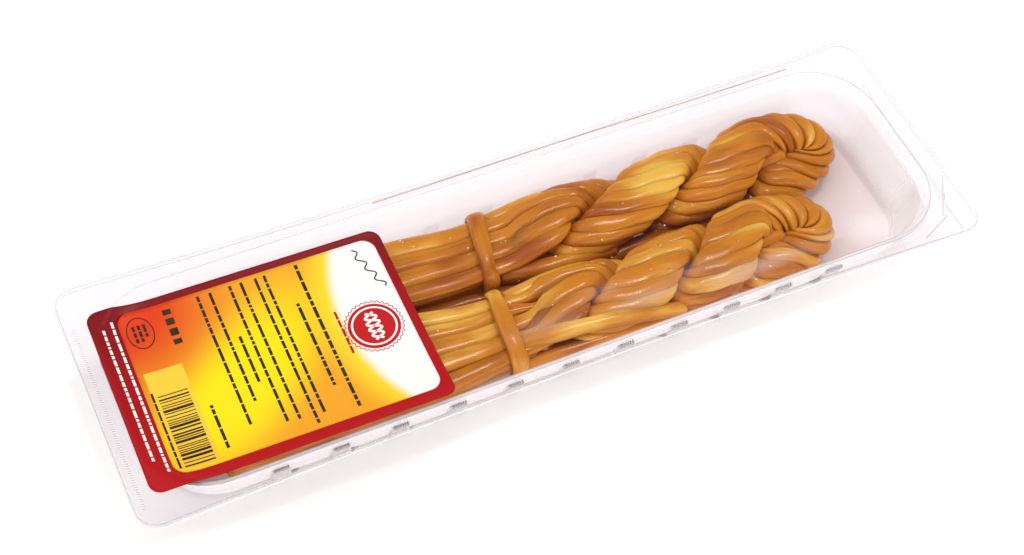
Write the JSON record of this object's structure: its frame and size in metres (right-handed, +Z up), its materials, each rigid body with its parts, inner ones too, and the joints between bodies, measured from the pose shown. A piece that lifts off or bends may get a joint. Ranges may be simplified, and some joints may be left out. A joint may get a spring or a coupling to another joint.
{
  "type": "pack of braided string cheese",
  "caption": "Long clear sealed tray with a sagging lid film and a printed end label, holding smoked string cheese skeins twisted into braids and tied at their tails.",
  "frame": {"origin": "middle of the tray's underside, the flat face that the pack rests on", "axes": "+X along the pack, from the label end to the loops of the braids; +Y across the pack, towards the far long side; +Z up, from the tray's floor to the lid film"},
  "size_m": [0.259, 0.0796, 0.0212],
  "materials": {
    "clear_tray": "clear thermoformed sheet, slightly milky, glossy",
    "clear_film": "thin clear glossy lid film",
    "printed_label": "satin printed film, red border round an orange, yellow and white field",
    "smoked_cheese": "smoked cheese, smooth and slightly oily, golden brown with pale patches",
    "tie_cheese": "smoked cheese strand, smooth and slightly oily, darker golden brown"
  },
  "bodies": {
    "root": {"tray": "clear_tray", "lid_film": "clear_film", "label": "printed_label", "braid_far": "smoked_cheese", "braid_near": "smoked_cheese", "tie_far": "tie_cheese", "tie_near": "tie_cheese"}
  },
  "joints": []
}
